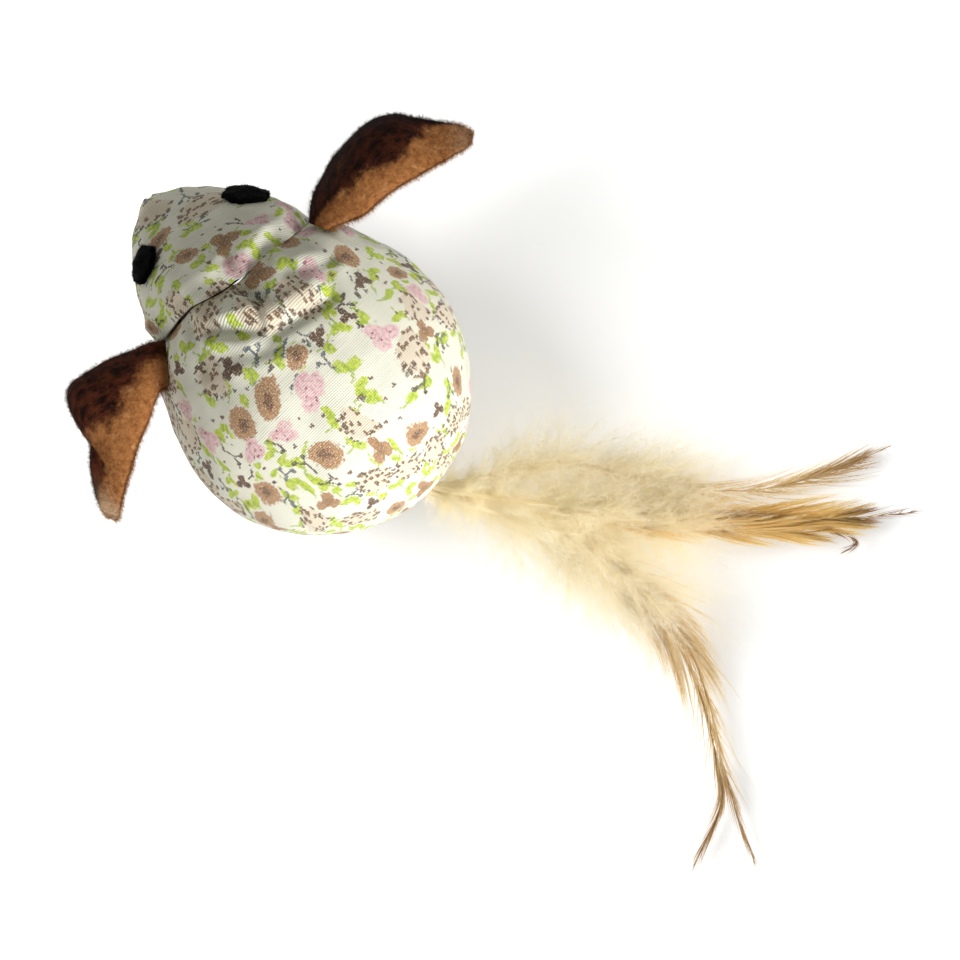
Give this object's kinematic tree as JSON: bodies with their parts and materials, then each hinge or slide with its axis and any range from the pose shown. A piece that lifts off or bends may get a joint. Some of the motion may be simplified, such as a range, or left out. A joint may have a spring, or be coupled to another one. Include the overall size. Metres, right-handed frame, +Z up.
{
  "type": "catnip mouse toy",
  "caption": "Stuffed cat toy: a printed cotton ball with a pointed mouse head, folding felt ears, felt eyes and a swinging feather tail.",
  "frame": {"origin": "middle of the flat patch under the belly, on the floor", "axes": "+Z up, -Y towards the nose, +Y towards the tail, +X towards the mouse's own left"},
  "size_m": [0.1227, 0.1835, 0.0584],
  "materials": {
    "printed_cotton": "plain-weave cotton with a small scattered flower print",
    "fibre_fill": "loose white polyester fibre",
    "dried_herb": "loose dried leaf and stalk",
    "brown_felt": "napped felt with fuzzy cut edges",
    "black_felt": "flat felt with a rough cut edge",
    "pale_feather": "cream down on a tan quill",
    "golden_feather": "golden brown barbs with darker tips",
    "sewing_thread": "twisted polyester sewing thread"
  },
  "bodies": {
    "root": {"back_panel": "printed_cotton", "belly_panel": "printed_cotton", "head_panel": "printed_cotton", "chin_panel": "printed_cotton", "body_filling": "fibre_fill", "head_filling": "fibre_fill", "catnip": "dried_herb", "neck_seam_thread": "sewing_thread", "left_seam_thread": "sewing_thread", "right_seam_thread": "sewing_thread", "nose_seam_thread": "sewing_thread", "closing_stitches": "sewing_thread", "eye_left": "black_felt", "eye_right": "black_felt"},
    "left_ear": {"ear_left": "brown_felt"},
    "right_ear": {"ear_right": "brown_felt"},
    "tail_tie": {"tail_tie_loop": "sewing_thread"},
    "tail": {"tail_whipping": "sewing_thread", "feather_1": "pale_feather", "feather_2": "golden_feather", "feather_3": "golden_feather", "feather_4": "pale_feather", "feather_5": "pale_feather"}
  },
  "joints": [
    {"name": "left_ear_fold", "type": "hinge", "parent": "root", "child": "left_ear", "pos_m": [0.0184, -0.022, 0.04124], "axis": [-0.6654, -0.7368, -0.1201], "range_deg": [-20, 32], "stiffness_Nm_per_rad": 0.002},
    {"name": "right_ear_fold", "type": "hinge", "parent": "root", "child": "right_ear", "pos_m": [-0.02202, -0.02038, 0.04059], "axis": [-0.3034, 0.7848, 0.5404], "range_deg": [-20, 32], "stiffness_Nm_per_rad": 0.002},
    {"name": "tail_swing", "type": "hinge", "parent": "root", "child": "tail_tie", "pos_m": [0, 0.02771, 0.01877], "axis": [0, 0, 1], "range_deg": [-60, 20], "stiffness_Nm_per_rad": 0.002},
    {"name": "tail_lift", "type": "hinge", "parent": "tail_tie", "child": "tail", "pos_m": [0, 0.02771, 0.01877], "axis": [0.9136, 0.4067, 0], "range_deg": [0, 40]}
  ]
}
